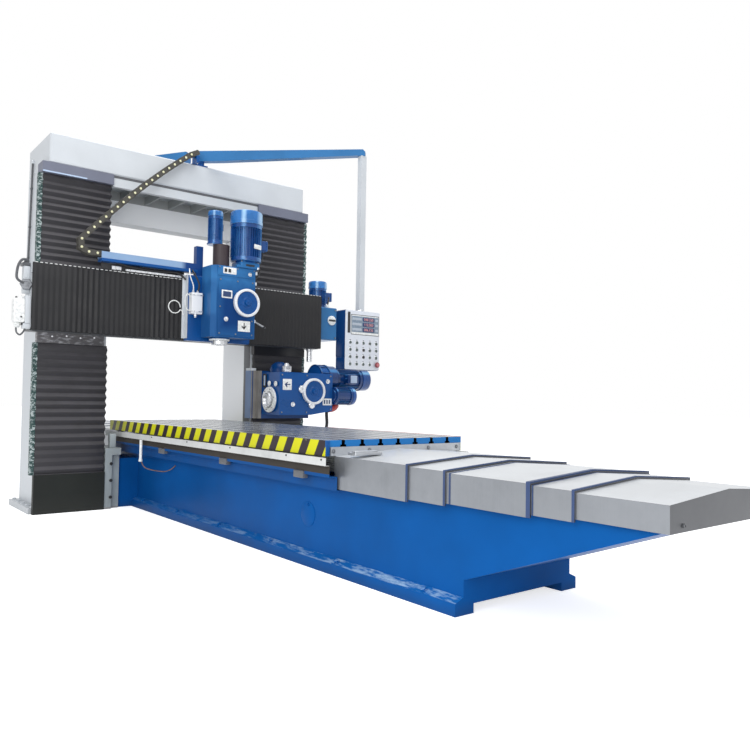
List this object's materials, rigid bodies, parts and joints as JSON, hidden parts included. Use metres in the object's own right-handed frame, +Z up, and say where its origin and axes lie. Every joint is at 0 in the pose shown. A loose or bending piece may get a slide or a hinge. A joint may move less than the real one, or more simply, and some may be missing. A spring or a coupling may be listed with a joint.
{
  "type": "gantry milling machine",
  "caption": "Gantry milling machine: travelling T-slot table on a long bed between two columns, with a vertical head on a lifting crossbeam, a side head and a hanging control pendant.",
  "frame": {"origin": "on the floor in the middle of the bed, in the plane of the front of the crown beam", "axes": "+Z up, +Y along the table travel towards the back, +X to the column that carries the side head"},
  "size_m": [4.0439, 10.335, 3.9026],
  "materials": {
    "machine_blue": "semi-gloss machine enamel",
    "light_grey": "satin machine enamel",
    "slate_grey": "satin enamel",
    "black_fabric": "coated folding guard",
    "black_cover": "matt black",
    "chain_plastic": "matt",
    "cast_iron": "ground and machined",
    "sheet_steel": "brushed sheet",
    "bright_steel": "ground",
    "white_paint": "satin"
  },
  "bodies": {
    "frame": {"bed": "machine_blue", "column_left": "light_grey", "column_right": "light_grey", "crown_beam": "light_grey", "tie_frame": "light_grey", "gutter_left": "light_grey", "gutter_right": "light_grey", "bellows_box_left": "slate_grey", "bellows_box_right": "slate_grey", "tie_block_left": "slate_grey", "tie_block_right": "slate_grey", "apron_left": "black_cover", "bellows_upper_left": "black_fabric", "bellows_upper_right": "black_fabric", "bellows_lower_left": "black_fabric", "bellows_middle_right": "black_fabric", "bellows_lower_right": "black_fabric", "boom_pivot": "machine_blue", "cable_duct": "machine_blue", "drag_chain": "chain_plastic", "front_cover_5": "sheet_steel", "rear_cover_5": "sheet_steel"},
    "table": {"table": "cast_iron", "front_cover_1": "sheet_steel", "rear_cover_1": "sheet_steel"},
    "crossbeam": {"crossbeam": "light_grey", "beam_bellows_left": "black_fabric", "beam_bellows_right": "black_fabric", "feed_gearbox": "machine_blue", "feed_motor_beam": "machine_blue", "oiler_bracket": "slate_grey", "oiler": "white_paint"},
    "saddle": {"saddle": "machine_blue", "cable_tray": "machine_blue", "oil_valve": "white_paint"},
    "vertical_head": {"vertical_head": "machine_blue", "main_motor": "machine_blue", "drawbar_sleeve": "black_cover", "feed_motor_head": "machine_blue"},
    "vertical_spindle": {"vertical_spindle": "bright_steel"},
    "vertical_dial": {"dial_vertical": "white_paint"},
    "side_slide": {"side_slide": "machine_blue"},
    "side_head": {"side_head": "machine_blue", "side_motor": "machine_blue", "feed_motor_side": "machine_blue"},
    "side_spindle": {"side_spindle": "bright_steel"},
    "side_dial": {"dial_side": "white_paint"},
    "boom": {"pendant_boom": "machine_blue"},
    "pendant": {"pendant_pole": "light_grey", "pendant_box": "machine_blue"},
    "front_cover_2": {"front_cover_2": "sheet_steel"},
    "front_cover_3": {"front_cover_3": "sheet_steel"},
    "front_cover_4": {"front_cover_4": "sheet_steel"},
    "rear_cover_2": {"rear_cover_2": "sheet_steel"},
    "rear_cover_3": {"rear_cover_3": "sheet_steel"},
    "rear_cover_4": {"rear_cover_4": "sheet_steel"}
  },
  "joints": [
    {"name": "table_travel", "type": "slide", "parent": "frame", "child": "table", "axis": [0, 1, 0], "range_m": [-1.03, 2.6]},
    {"name": "front_cover_2_slide", "type": "slide", "parent": "frame", "child": "front_cover_2", "axis": [0, 1, 0], "range_m": [-0.84, 2.12]},
    {"name": "front_cover_3_slide", "type": "slide", "parent": "frame", "child": "front_cover_3", "axis": [0, 1, 0], "range_m": [-0.62, 1.563]},
    {"name": "front_cover_4_slide", "type": "slide", "parent": "frame", "child": "front_cover_4", "axis": [0, 1, 0], "range_m": [-0.3, 0.755]},
    {"name": "rear_cover_2_slide", "type": "slide", "parent": "frame", "child": "rear_cover_2", "axis": [0, 1, 0], "range_m": [-0.84, 2.12]},
    {"name": "rear_cover_3_slide", "type": "slide", "parent": "frame", "child": "rear_cover_3", "axis": [0, 1, 0], "range_m": [-0.62, 1.563]},
    {"name": "rear_cover_4_slide", "type": "slide", "parent": "frame", "child": "rear_cover_4", "axis": [0, 1, 0], "range_m": [-0.3, 0.755]},
    {"name": "crossbeam_lift", "type": "slide", "parent": "frame", "child": "crossbeam", "axis": [0, 0, 1], "range_m": [-0.14, 0.45], "deforming": ["bellows_upper_left", "bellows_upper_right", "bellows_lower_left", "bellows_middle_right", "drag_chain"]},
    {"name": "saddle_travel", "type": "slide", "parent": "crossbeam", "child": "saddle", "axis": [1, 0, 0], "range_m": [-0.95, 0.55], "deforming": ["beam_bellows_left", "beam_bellows_right"]},
    {"name": "vertical_head_feed", "type": "slide", "parent": "saddle", "child": "vertical_head", "axis": [0, 0, 1], "range_m": [-0.3, 0.03]},
    {"name": "vertical_spindle_turn", "type": "hinge", "parent": "vertical_head", "child": "vertical_spindle", "pos_m": [0.19, -0.385, 1.79], "axis": [0, 0, -1], "continuous": true},
    {"name": "vertical_dial_turn", "type": "hinge", "parent": "vertical_head", "child": "vertical_dial", "pos_m": [0.415, -0.53, 2.17], "axis": [0, -1, 0], "continuous": true},
    {"name": "side_slide_lift", "type": "slide", "parent": "frame", "child": "side_slide", "axis": [0, 0, 1], "range_m": [-0.25, 0.12], "deforming": ["bellows_lower_right"]},
    {"name": "side_head_feed", "type": "slide", "parent": "side_slide", "child": "side_head", "axis": [-1, 0, 0], "range_m": [-0.05, 0.25]},
    {"name": "side_spindle_turn", "type": "hinge", "parent": "side_head", "child": "side_spindle", "pos_m": [0.881, -0.31, 1.14], "axis": [-1, 0, 0], "continuous": true},
    {"name": "side_dial_turn", "type": "hinge", "parent": "side_head", "child": "side_dial", "pos_m": [1.321, -0.5, 1.24], "axis": [0, -1, 0], "continuous": true},
    {"name": "boom_swing", "type": "hinge", "parent": "frame", "child": "boom", "pos_m": [0.14, 0.06, 3.787], "axis": [0, 0, 1], "range_deg": [-60, 15]},
    {"name": "pendant_swivel", "type": "hinge", "parent": "boom", "child": "pendant", "pos_m": [1.467, -1.18, 3.8], "axis": [0, 0, 1], "range_deg": [-90, 90]}
  ],
  "couplings": [
    {"joint": "front_cover_2_slide", "follows": "table_travel", "ratio": 0.815},
    {"joint": "front_cover_3_slide", "follows": "table_travel", "ratio": 0.601},
    {"joint": "front_cover_4_slide", "follows": "table_travel", "ratio": 0.29},
    {"joint": "rear_cover_2_slide", "follows": "table_travel", "ratio": 0.815},
    {"joint": "rear_cover_3_slide", "follows": "table_travel", "ratio": 0.601},
    {"joint": "rear_cover_4_slide", "follows": "table_travel", "ratio": 0.29}
  ]
}
